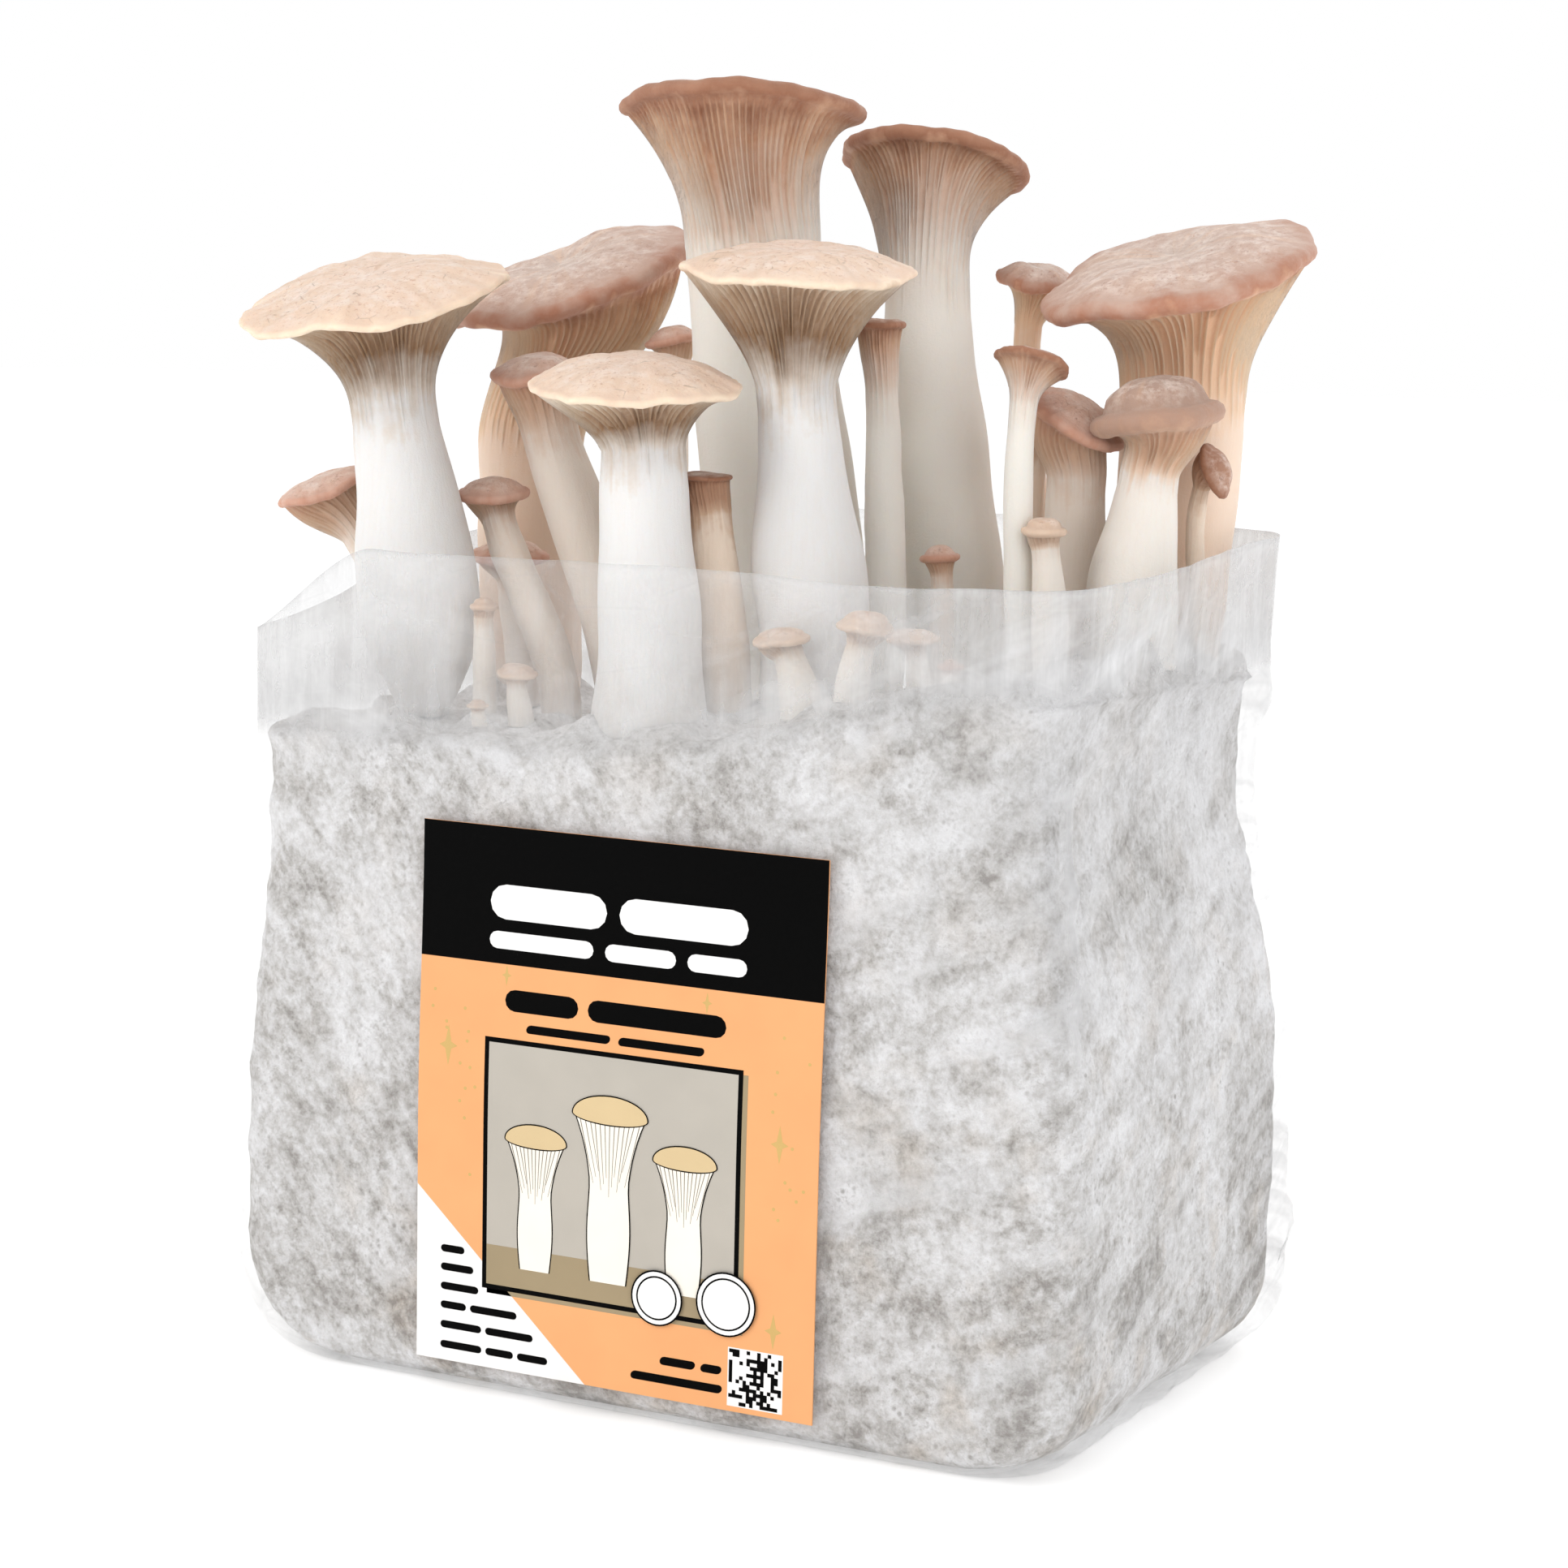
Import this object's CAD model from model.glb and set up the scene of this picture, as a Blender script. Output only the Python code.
import math
from collections import namedtuple

import bmesh
import bpy
import numpy as np
from mathutils import Matrix, Vector


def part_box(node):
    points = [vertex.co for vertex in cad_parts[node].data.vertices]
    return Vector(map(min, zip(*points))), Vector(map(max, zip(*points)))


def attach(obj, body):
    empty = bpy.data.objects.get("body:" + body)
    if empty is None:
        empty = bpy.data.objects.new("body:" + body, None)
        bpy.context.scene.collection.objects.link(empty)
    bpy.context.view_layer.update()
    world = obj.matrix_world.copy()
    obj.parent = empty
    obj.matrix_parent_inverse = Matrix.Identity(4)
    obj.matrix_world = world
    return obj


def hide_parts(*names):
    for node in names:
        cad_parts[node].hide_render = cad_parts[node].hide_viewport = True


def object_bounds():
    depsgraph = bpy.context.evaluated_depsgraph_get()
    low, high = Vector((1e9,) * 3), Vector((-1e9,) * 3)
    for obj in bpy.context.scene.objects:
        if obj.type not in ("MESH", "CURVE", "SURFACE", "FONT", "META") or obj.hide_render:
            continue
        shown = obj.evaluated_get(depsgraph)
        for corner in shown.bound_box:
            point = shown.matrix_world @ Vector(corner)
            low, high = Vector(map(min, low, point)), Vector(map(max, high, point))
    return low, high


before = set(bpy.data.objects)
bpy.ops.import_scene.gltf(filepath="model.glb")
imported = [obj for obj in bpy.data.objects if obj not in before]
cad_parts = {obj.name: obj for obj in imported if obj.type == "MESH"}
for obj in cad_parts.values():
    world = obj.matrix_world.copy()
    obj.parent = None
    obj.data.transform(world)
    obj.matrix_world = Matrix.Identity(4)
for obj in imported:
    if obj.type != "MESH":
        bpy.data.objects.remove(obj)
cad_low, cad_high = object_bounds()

# Looks of an oyster mushroom grow bag. Lengths are in millimetres and become metres when a mesh is made.
# X runs along the labelled front, Y into the depth, Z up, as in the frame.
MM = 0.001

# The block's and the bag's form, as the solids have it
LEFT_FACE = -106.0
RIGHT_FACE = 106.0
FRONT_FACE = -63.0
BACK_FACE = 62.5
WAIST_HEIGHT = 135.0
RIGHT_TURN = 4.5
BLOCK_BOTTOM = 1.2
CORNER_RADIUS = 12.0
LEFT_EDGE_RADIUS = 25.0
RIGHT_EDGE_RADIUS = 17.0
FRONT_EDGE_RADIUS = 5.5
TOP_LOW = 145.0
TOP_RISE = 22.0
RISE_START = 20.0
RISE_LENGTH = 120.0
TOP_DEPTH_SLOPE = -0.04
TOP_EDGE_RADIUS = 5.0
RIM_HEIGHT = 187.0
RIM_BACK_RISE = 5.0
RIM_LEFT_DROOP = 20.0
SKIN = 1.2                   # from the block to the outside of the film
FILM_THICKNESS = 0.25
NEAR_CREASE = 40.0           # x + y of the upright crease at the near corner
SLIM_START = 60.0            # the walls begin to draw in at this height
SLIM_LENGTH = 70.0
LEFT_SLIM = 5.0              # how far each wall is drawn in above that
FRONT_SLIM = 2.0
RIGHT_SLIM = 7.0
RIGHT_SLIM_LENGTH = 127.0
RIGHT_WAIST = 7.0            # drawn in once more round the waist
RIGHT_WAIST_SPREAD = 32.0
BACK_WAIST = 2.5
BACK_WAIST_SPREAD = 40.0
DROOP_START = -66.0          # the cut edge droops from here to the left
DROOP_LENGTH = 36.0
DROOP_LOST_AT_BACK = 0.6

# The label
LABEL_LEFT = -52.5
LABEL_WIDTH = 97.0
LABEL_BOTTOM = 7.5
LABEL_HEIGHT = 121.0
LABEL_FRONT = 1.9            # its printed side, from the block
LABEL_THICKNESS = 0.4
LABEL_BENDS = 24             # steps in which it follows the front up
INK = 0.015                  # thickness of one printed layer
PICTURE = (16.6, 18.1, 62.5, 56.6)    # left, bottom, width and height of the picture on it
PICTURE_LAYERS = 36          # the discs are printed on this layer and above
PICTURE_FRAME = 1.1
PICTURE_GROUND = 9.0
# The drawn mushrooms: place and height as shares of the picture, then the widths of cap and stem
DRAWN_MUSHROOMS = ((0.21, 0.60, 15.0, 7.0), (0.79, 0.60, 15.0, 7.0), (0.50, 0.76, 18.0, 8.5))
OUTLINE_WIDTH = 0.3
CAP_FLAT = 0.24              # height of a drawn cap over its rim, as a share of its width
CAP_UNDERSIDE = 0.10         # and how far it bulges below the rim
GILL_LINE_GAP = 0.6          # between a drawn gill's upper end and the rim
GILL_LINE_LOW = 0.05         # half a drawn gill's width at its lower end
GILL_LINE_HIGH = 0.11        # and at its upper end
MODULES = 15                 # cells along each side of the square of random cells
MODULES_LEFT = 77.3
MODULES_BOTTOM = 1.5
MODULES_WIDTH = 12.4
HEADER_BOTTOM = 91.0
FIELD_DOTS = 26

# The camera: where it looks from, in degrees and millimetres
CAMERA_AZIMUTH = 24.9
CAMERA_ELEVATION = 8.9
CAMERA_ROLL = 1.3
CAMERA_DISTANCE = 774.0
CAMERA_LENS = 77.9
AIM_RIGHT = 4.1
AIM_HEIGHT = 132.4
SURROUND_LIGHT = 0.8
FLOOR_RADIUS = 6.0           # metres

Mushroom = namedtuple("Mushroom", "name foot neck crown girth rim lean curl lip dome look gills wave")

# foot, neck and crown are places, girth the stem's radius at foot, belly and neck, lean the sideways part
# of the cap's upward direction, curl the bell of the funnel, gills their number, wave how far the rim waves.
MUSHROOMS = (
    Mushroom("trumpet_front_left", (-69, -36), (-77.5, -36, 215), (-82, -36, 238), (5.0, 13.6, 9.6),
             29.0, (-0.04, -0.30), 2.1, 3.0, 3.5, "cream", 84, 0.052),
    Mushroom("trumpet_back_left", (-78, 29), (-79, 30, 206), (-70, 30, 240), (11.5, 12.5, 12.5),
             30.5, (-0.19, -0.32), 2.9, 4.4, 4.0, "frosted", 84, 0.045),
    Mushroom("trumpet_front_centre", (-8, -43), (-11, -43, 209), (-11.7, -44, 222), (13.0, 11, 9.0),
             22.5, (0.06, -0.13), 1.6, 3.0, 4.0, "cream", 72, 0.05),
    Mushroom("trumpet_behind_front", (-29, -12), (-49, -14, 210), (-52.5, -14, 222), (7, 7.5, 6.5),
             10.5, (0.0, -0.15), 1.8, 3.0, 3.0, "rosy", 40, 0.04),
    Mushroom("trumpet_tallest", (-1, 16), (-10, 11, 253), (-11.2, 7, 282.5), (15, 17.5, 15.0),
             25.8, (-0.04, 0.14), 3.2, 3.6, 2.5, "gilled", 90, 0.04),
    Mushroom("trumpet_centre", (21, -20), (15.5, -22, 224), (14.6, -22, 248.6), (12.0, 12.2, 8.6),
             25.0, (0.05, -0.12), 1.5, 3.5, 3.0, "cream", 80, 0.05),
    Mushroom("trumpet_back_right", (34.5, 28), (23, 30, 247), (18, 47, 273.8), (12, 12.2, 10.4),
             22.4, (0.03, 0.33), 2.8, 3.4, 2.0, "gilled", 80, 0.035),
    Mushroom("trumpet_hidden_centre", (25, 5), (20, 10, 238), (17.5, 12, 259.5), (5.5, 6.4, 5.2),
             8.0, (0.0, 0.0), 2.0, 2.0, 1.0, "gilled", 36, 0.04),
    Mushroom("trumpet_far_back", (47, 50), (31, 67, 236), (33, 68, 245), (4, 4.0, 4.4),
             12.5, (0.12, -0.10), 1.8, 3.0, 3.0, "frosted", 40, 0.05),
    Mushroom("trumpet_far_right", (81, 38), (83.5, 38, 221), (82, 36, 246), (12, 13, 13.8),
             31.0, (-0.16, -0.28), 2.4, 4.6, 4.0, "frosted", 84, 0.045),
    Mushroom("trumpet_slim_right", (39, 44.5), (37.3, 46, 221), (37.8, 50, 231.5), (3.8, 4.0, 3.8),
             10.4, (0.11, 0.36), 2.2, 2.0, 1.6, "gilled", 36, 0.04),
    Mushroom("trumpet_tilted_right", (67, 19), (67, 15, 204), (67, 14, 215), (5.5, 6.2, 6.2),
             11.2, (0.55, -0.08), 1.5, 3.0, 3.0, "rosy", 40, 0.05),
    Mushroom("bun_front_right", (83.5, 8), (86.5, 8, 210), (88.5, 8, 220.4), (11, 10.6, 6.8),
             14.6, (-0.16, -0.05), 2.6, 5.6, 7.6, "bun", 44, 0.03),
    Mushroom("cap_behind_bun", (92, 25.5), (91.8, 21.5, 204), (94.6, 20, 208), (2.2, 2.4, 2.2),
             6.8, (0.92, -0.1), 1.6, 1.6, 3.0, "brown", 24, 0.03),
    Mushroom("trumpet_left_edge", (-82, -15), (-97, -18, 184), (-106, -19, 194), (3.4, 3.7, 4.4),
             11.4, (-0.28, -0.28), 1.4, 2.2, 2.0, "rosy", 40, 0.05),
    Mushroom("cap_leaning_left", (-39, -26), (-59, -20, 190), (-61, -19, 195), (4.5, 4.6, 4.0),
             8.4, (0.0, -0.12), 2.0, 2.4, 3.0, "rosy", 32, 0.03),
    Mushroom("cap_low_left", (-63, 0), (-66.5, 0, 174), (-67.5, 0, 179), (4.0, 4.2, 4.0),
             9.0, (0.05, -0.1), 2.0, 2.4, 3.0, "rosy", 32, 0.04),
    Mushroom("button_right", (71.5, -9), (69.5, -9, 190), (69, -9, 193), (3.8, 4.0, 3.0),
             4.8, (0.0, 0.0), 2.0, 2.0, 2.2, "button", 24, 0.03),
    Mushroom("cap_slim_back", (53, 27), (53.5, 27, 210), (54, 27, 213), (2.0, 2.1, 1.8),
             3.5, (0.0, 0.0), 2.0, 1.6, 2.0, "brown", 20, 0.03),
    Mushroom("button_middle", (39, 7), (38.5, 8, 181), (38, 8, 184.5), (2.4, 2.6, 2.4),
             4.2, (-0.1, 0.0), 2.0, 1.8, 2.2, "rosy", 22, 0.03),
    Mushroom("trumpet_straight", (4, -29), (-1, -30, 195), (-2, -30, 203), (5.2, 5.8, 5.2),
             6.0, (0.0, -0.02), 1.4, 1.0, 0.7, "brown", 36, 0.01),
    Mushroom("cap_between_left", (-36, 20), (-37.5, 23, 224), (-38, 24, 230), (4.0, 4.2, 3.8),
             6.2, (-0.2, -0.1), 1.8, 2.0, 2.6, "rosy", 28, 0.05),
    Mushroom("pin_left", (-51, -40), (-51.5, -40, 170), (-51.5, -40, 172), (2.6, 2.6, 2.2),
             3.2, (0.0, 0.0), 2.0, 1.5, 1.6, "button", 20, 0.03),
    Mushroom("pin_front_left", (-40, -43), (-41, -43, 156), (-41, -43, 158), (2.8, 2.6, 2.2),
             4.4, (0.1, -0.1), 2.0, 1.5, 1.8, "button", 20, 0.04),
    Mushroom("pin_front_low", (-46.5, -50), (-47, -50, 150), (-47, -50, 151), (1.8, 1.7, 1.5),
             2.3, (0.0, 0.0), 2.0, 1.2, 1.4, "button", 16, 0.03),
    Mushroom("button_front_a", (27, -40), (23.5, -40, 167), (22, -40, 169.5), (4.6, 4.4, 3.4),
             6.0, (-0.1, -0.08), 1.8, 1.6, 1.8, "button", 28, 0.05),
    Mushroom("button_front_b", (38.5, -41), (40, -40, 170), (41, -40, 173.5), (3.6, 3.6, 3.0),
             6.0, (0.15, -0.05), 1.8, 1.8, 2.6, "button", 28, 0.05),
    Mushroom("button_flat", (47.5, -25), (46.5, -25, 167.5), (46, -25, 170), (2.6, 2.6, 2.2),
             5.6, (0.0, -0.05), 1.8, 1.4, 1.6, "button", 24, 0.05),
    Mushroom("pin_right", (66, -53), (66, -53, 167), (66, -53, 168), (1.6, 1.8, 1.8),
             2.6, (0.0, -0.1), 2.0, 1.4, 1.5, "rosy", 16, 0.03),
)
BELLY_AT = 0.35              # share of the stem's height where the belly is
FOOT_SINK = 1.5              # how far a foot goes down into the mycelium round it
GILL_WIDTH = 0.21            # half a gill's width as a share of the way to the next
GROOVE_SHADE = 0.34          # how dark the grooves between gills are painted
THIN_EDGE = 0.9              # radius of a cap's thin edge


# ---------------------------------------------------------------- helpers

def smooth(value):
    """Ease from 0 to 1 as value goes from 0 to 1."""
    value = np.clip(value, 0.0, 1.0)
    return value * value * (3.0 - 2.0 * value)


def dip(value, centre, spread):
    """A smooth bump, 1 at the centre."""
    return np.exp(-((value - centre) / spread) ** 2)


def ripple(points, size, seed, waves=14):
    """A smooth random field, mostly -1 to 1, with bumps about size wide."""
    random = np.random.default_rng(seed)
    total = np.zeros(points.shape[:-1])
    for _ in range(waves):
        heading = random.normal(size=points.shape[-1])
        heading /= np.linalg.norm(heading)
        pitch = size * random.uniform(1.3, 3.0)
        total += np.sin(points @ heading * (math.tau / pitch) + random.uniform(0.0, math.tau))
    return total / math.sqrt(2.0 * waves)


def tone(red, green, blue):
    """A screen colour, 0 to 255, as the linear colour that a shader takes."""
    return tuple((part / 255.0) ** 2.2 for part in (red, green, blue)) + (1.0,)


def grid_piece(name, points, fields, caps=True):
    """A closed mesh from rows of points that each run round; the first and last rows get a fan to a tip."""
    rows, columns, _ = points.shape
    flat = points.reshape(-1, 3)
    number = np.arange(rows * columns).reshape(rows, columns)
    after = np.roll(number, -1, axis=1)
    faces = np.stack([number[:-1], after[:-1], after[1:], number[1:]], axis=-1).reshape(-1, 4).tolist()
    tips = np.stack([points[0].mean(0), points[-1].mean(0)])
    if caps:
        first, last = rows * columns, rows * columns + 1
        flat = np.concatenate([flat, tips])
        faces += [(b, a, first) for a, b in zip(number[0].tolist(), after[0].tolist())]
        faces += [(a, b, last) for a, b in zip(number[-1].tolist(), after[-1].tolist())]
    mesh = bpy.data.meshes.new(name)
    mesh.from_pydata((flat * MM).tolist(), [], faces)
    for field, values in fields.items():
        values = np.broadcast_to(values, (rows, columns)).reshape(-1)
        if caps:
            values = np.append(values, [values[0], values[-1]])
        attribute = mesh.attributes.new(field, "FLOAT", "POINT")
        attribute.data.foreach_set("value", values.astype(np.float32))
    mesh.shade_smooth()
    return add_object(name, mesh)


def outward(points, closed=True):
    """Unit normals of rows of points that run counter-clockwise, with rows going up."""
    if closed:
        round_way = np.roll(points, -1, axis=1) - np.roll(points, 1, axis=1)
    else:
        round_way = np.gradient(points, axis=1)
    up_way = np.gradient(points, axis=0)
    normal = np.cross(round_way, up_way)
    return normal / np.maximum(np.linalg.norm(normal, axis=-1, keepdims=True), 1e-9)


def add_object(name, data):
    """A new object with this data, linked to the scene."""
    thing = bpy.data.objects.new(name, data)
    bpy.context.collection.objects.link(thing)
    return thing


def settle(piece, material, slot, *nodes):
    """Give a piece its material, its body, its record slot and the solids that it stands for."""
    piece.data.materials.append(material)
    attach(piece, "root")
    if nodes:
        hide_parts(*nodes)
    return piece


def fitted(points, plain, node):
    """Points carried by the fit that puts the plain shape's box on the node's box."""
    low, high = (np.array(corner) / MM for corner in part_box(node))
    plain = plain.reshape(-1, 3)
    scale = (high - low) / (plain.max(0) - plain.min(0))
    return (points - plain.min(0)) * scale + low


# ---------------------------------------------------------------- the block's and the bag's form

def top_height(x, y):
    """Height of the block's top surface."""
    return TOP_LOW + TOP_RISE * smooth((x + RISE_START) / RISE_LENGTH) + TOP_DEPTH_SLOPE * y


def rim_height(x, y):
    """Height of the film's cut edge: level in front, higher at the back, drooping at the left."""
    back = smooth((y - FRONT_FACE) / (BACK_FACE - FRONT_FACE))
    left = smooth((DROOP_START - x) / DROOP_LENGTH)
    return RIM_HEIGHT + RIM_BACK_RISE * back - RIM_LEFT_DROOP * left * (1.0 - DROOP_LOST_AT_BACK * back)


def edge_inset(z, radius, offset):
    """How far a rounded bottom edge pulls a wall in at height z, for a skin offset from the block."""
    depth = np.maximum(BLOCK_BOTTOM + radius - z, 0.0)
    reach = radius + offset
    return reach - np.sqrt(np.maximum(reach * reach - depth * depth, 0.0))


def walls(z, offset):
    """Left, right, front and back of the slice at height z: full below, waisted above."""
    slim = smooth((z - SLIM_START) / SLIM_LENGTH)
    left = LEFT_FACE + LEFT_SLIM * slim + edge_inset(z, LEFT_EDGE_RADIUS, offset)
    right = RIGHT_FACE - RIGHT_WAIST * dip(z, WAIST_HEIGHT, RIGHT_WAIST_SPREAD)
    right = right - RIGHT_SLIM * smooth((z - SLIM_START) / RIGHT_SLIM_LENGTH)
    right = right - edge_inset(z, RIGHT_EDGE_RADIUS, offset)
    face_inset = edge_inset(z, FRONT_EDGE_RADIUS, offset)
    front = FRONT_FACE + FRONT_SLIM * slim + face_inset
    back = BACK_FACE - BACK_WAIST * dip(z, WAIST_HEIGHT, BACK_WAIST_SPREAD) - face_inset
    return left - offset, right + offset, front - offset, back + offset


def columns_round(corner_steps, long_steps, short_steps):
    """For each column round a slice: its corner, the next, the share between them and its angle."""
    table = []
    for corner in range(4):
        start = 90.0 * (corner - 1)
        for step in range(corner_steps):
            table.append((corner, corner, 0.0, start + 90.0 * step / corner_steps))
        steps = short_steps if corner % 2 == 0 else long_steps
        for step in range(steps):
            table.append((corner, (corner + 1) % 4, step / steps, start + 90.0))
    return np.array(table)


def slice_points(columns, z, offset, share=1.0):
    """Points of the slices at heights z, one height for each row and column; share shrinks them inwards."""
    left, right, front, back = walls(z, offset)
    radius = CORNER_RADIUS + offset
    corner_x = np.stack([right - radius, right - radius, left + radius, left + radius])
    corner_y = np.stack([front + radius, back - radius, back - radius, front + radius])
    here = columns[:, 0].astype(int)
    there = columns[:, 1].astype(int)
    span = columns[:, 2]
    angle = np.radians(columns[:, 3])
    spot = np.arange(len(columns))
    x = corner_x[here, :, spot].T * (1.0 - span) + corner_x[there, :, spot].T * span + radius * np.cos(angle)
    y = corner_y[here, :, spot].T * (1.0 - span) + corner_y[there, :, spot].T * span + radius * np.sin(angle)
    x = x + RIGHT_TURN * (x - LEFT_FACE) / (RIGHT_FACE - LEFT_FACE) * y / BACK_FACE
    middle_x = (left + right) / 2.0
    middle_y = (front + back) / 2.0
    level_x = middle_x + (x - middle_x) * share
    level_y = middle_y + (y - middle_y) * share
    return np.stack([level_x, level_y, z + 0.0 * x], axis=-1)


def level_rows(columns, heights, offset, shares=None):
    """Level rows at the given heights."""
    z = np.repeat(np.array(heights, float)[:, None], len(columns), axis=1)
    share = 1.0 if shares is None else np.array(shares)[:, None]
    return slice_points(columns, z, offset, share)


def base_rows(columns, offset, steps, flat_rows):
    """Rows of the flat bottom and of its rounded edges, from the middle out and up."""
    bottom = BLOCK_BOTTOM - offset
    shares = np.linspace(0.03, 1.0, flat_rows, endpoint=False)
    flat = level_rows(columns, [bottom] * flat_rows, offset, shares)
    turn = np.radians(np.linspace(0.0, 90.0, steps))
    heights = BLOCK_BOTTOM + LEFT_EDGE_RADIUS - (LEFT_EDGE_RADIUS + offset) * np.cos(turn)
    return np.concatenate([flat, level_rows(columns, heights, offset)])


def rising_rows(columns, offset, low, high_at, steps):
    """Rows from the height low, one for all or one a column, to the height that high_at gives."""
    guide = level_rows(columns, [RIM_HEIGHT], offset)[0]
    high = high_at(guide[:, 0], guide[:, 1])
    share = np.arange(1, steps + 1)[:, None] / steps
    return slice_points(columns, low + (high - low) * share, offset)


# ---------------------------------------------------------------- materials

class Nodes:
    """A short way to write a material's nodes."""

    def __init__(self, name):
        self.material = bpy.data.materials.new(name)
        self.material.use_nodes = True
        self.tree = self.material.node_tree
        self.shader = self.tree.nodes["Principled BSDF"]

    def add(self, kind, **settings):
        node = self.tree.nodes.new("ShaderNode" + kind)
        for key, value in settings.items():
            if key in node.inputs.keys():
                self.put(node.inputs[key], value)
            else:
                setattr(node, key, value)
        return node

    def put(self, socket, value):
        if isinstance(value, bpy.types.NodeSocket):
            self.tree.links.new(value, socket)
        else:
            socket.default_value = value

    def place(self, stretch=(1.0, 1.0, 1.0)):
        """Object coordinates in millimetres, stretched."""
        coordinates = self.add("TexCoord")
        mapping = self.add("Mapping")
        mapping.inputs["Scale"].default_value = tuple(part / MM for part in stretch)
        self.tree.links.new(coordinates.outputs["Object"], mapping.inputs["Vector"])
        return mapping.outputs[0]

    def wrapped(self, length, width, rise):
        """Coordinates on the walls laid flat, stretched along lines that rise by so many degrees."""
        parts = self.add("SeparateXYZ", Vector=self.place())
        round_way = self.math("ADD", parts.outputs["X"], parts.outputs["Y"])
        flat = self.add("CombineXYZ", X=round_way, Z=parts.outputs["Z"])
        turned = self.add("Mapping", vector_type="TEXTURE", Vector=flat.outputs["Vector"])
        turned.inputs["Rotation"].default_value = (0.0, -math.radians(rise), 0.0)
        turned.inputs["Scale"].default_value = (length, 1.0, width)
        return turned.outputs[0]

    def noise(self, where, size, detail=3.0, roughness=0.55, distortion=0.0):
        node = self.add("TexNoise", Vector=where, Scale=1.0 / size, Detail=detail, Roughness=roughness,
                        Distortion=distortion)
        return node.outputs["Fac"]

    def spots(self, where, size, feature="F1"):
        node = self.add("TexVoronoi", Vector=where, Scale=1.0 / size, feature=feature)
        return node.outputs["Distance"]

    def field(self, name):
        return self.add("Attribute", attribute_name=name).outputs["Fac"]

    def math(self, operation, first, second=0.0):
        node = self.add("Math", operation=operation)
        self.put(node.inputs[0], first)
        self.put(node.inputs[1], second)
        return node.outputs[0]

    def times(self, first, second):
        return self.math("MULTIPLY", first, second)

    def remap(self, value, low, high, to_low=0.0, to_high=1.0):
        node = self.add("MapRange")
        for key, part in (("Value", value), ("From Min", low), ("From Max", high),
                          ("To Min", to_low), ("To Max", to_high)):
            self.put(node.inputs[key], part)
        return node.outputs[0]

    def ramp(self, value, stops):
        node = self.add("ValToRGB")
        self.put(node.inputs["Fac"], value)
        band = node.color_ramp
        while len(band.elements) < len(stops):
            band.elements.new(0.5)
        for element, (spot, colour) in zip(band.elements, stops):
            element.position = spot
            element.color = colour
        return node.outputs["Color"]

    def blend(self, share, first, second, kind="MIX"):
        node = self.add("Mix", data_type="RGBA", blend_type=kind)
        self.put(node.inputs[0], share)
        self.put(node.inputs[6], first)
        self.put(node.inputs[7], second)
        return node.outputs[2]

    def bump(self, height, distance, strength=1.0, under=None):
        node = self.add("Bump")
        self.put(node.inputs["Height"], height)
        node.inputs["Distance"].default_value = distance * MM
        node.inputs["Strength"].default_value = strength
        if under is not None:
            self.tree.links.new(under, node.inputs["Normal"])
        return node.outputs["Normal"]

    def finish(self, **inputs):
        for key, value in inputs.items():
            self.put(self.shader.inputs[key.replace("_", " ")], value)
        return self.material


# Colours along a mushroom: foot, stem, neck, inner and outer gills, rim, edge and middle of the cap's top,
# then the grooves between gills and the flecks on the cap
Look = namedtuple("Look", "foot stem neck inner outer rim top middle groove speck")
LOOK_COLOURS = {
    "cream": ((220, 216, 212), (229, 228, 227), (218, 206, 194), (150, 116, 86),
        (196, 165, 137), (244, 222, 198), (229, 201, 178), (228, 201, 182),
        (92, 64, 40), (176, 126, 98)),
    "frosted": ((228, 212, 200), (234, 210, 190), (234, 202, 172), (238, 204, 172),
        (230, 188, 154), (178, 126, 102), (196, 164, 148), (200, 180, 168),
        (188, 136, 102), (158, 112, 94)),
    "gilled": ((234, 228, 218), (236, 232, 224), (238, 232, 222), (232, 212, 196),
        (206, 166, 138), (154, 108, 84), (168, 124, 100), (192, 156, 136),
        (164, 116, 88), (148, 102, 82)),
    "rosy": ((230, 218, 208), (234, 222, 210), (226, 204, 186), (216, 182, 156),
        (208, 166, 138), (200, 150, 128), (212, 174, 156), (216, 188, 172),
        (164, 120, 94), (160, 114, 96)),
    "brown": ((236, 226, 214), (226, 208, 190), (198, 166, 140), (178, 138, 112),
        (168, 126, 100), (138, 94, 70), (164, 122, 100), (174, 134, 114),
        (134, 96, 74), (124, 82, 64)),
    "bun": ((228, 222, 214), (236, 230, 222), (230, 208, 188), (216, 180, 152),
        (206, 166, 138), (176, 140, 120), (172, 142, 126), (172, 150, 138),
        (182, 134, 106), (146, 110, 92)),
    "button": ((230, 224, 216), (234, 226, 216), (226, 208, 190), (208, 180, 158),
        (214, 186, 164), (220, 194, 172), (212, 184, 162), (202, 172, 150),
        (166, 130, 106), (164, 124, 100)),
}
LOOK_STOPS = (0.0, 0.10, 0.30, 0.355, 0.46, 0.60, 0.68, 0.75, 1.0)
FRINGE_STARTS, FRINGE_ENDS = 0.72, 0.78          # where the cap's own texture fades in


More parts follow.
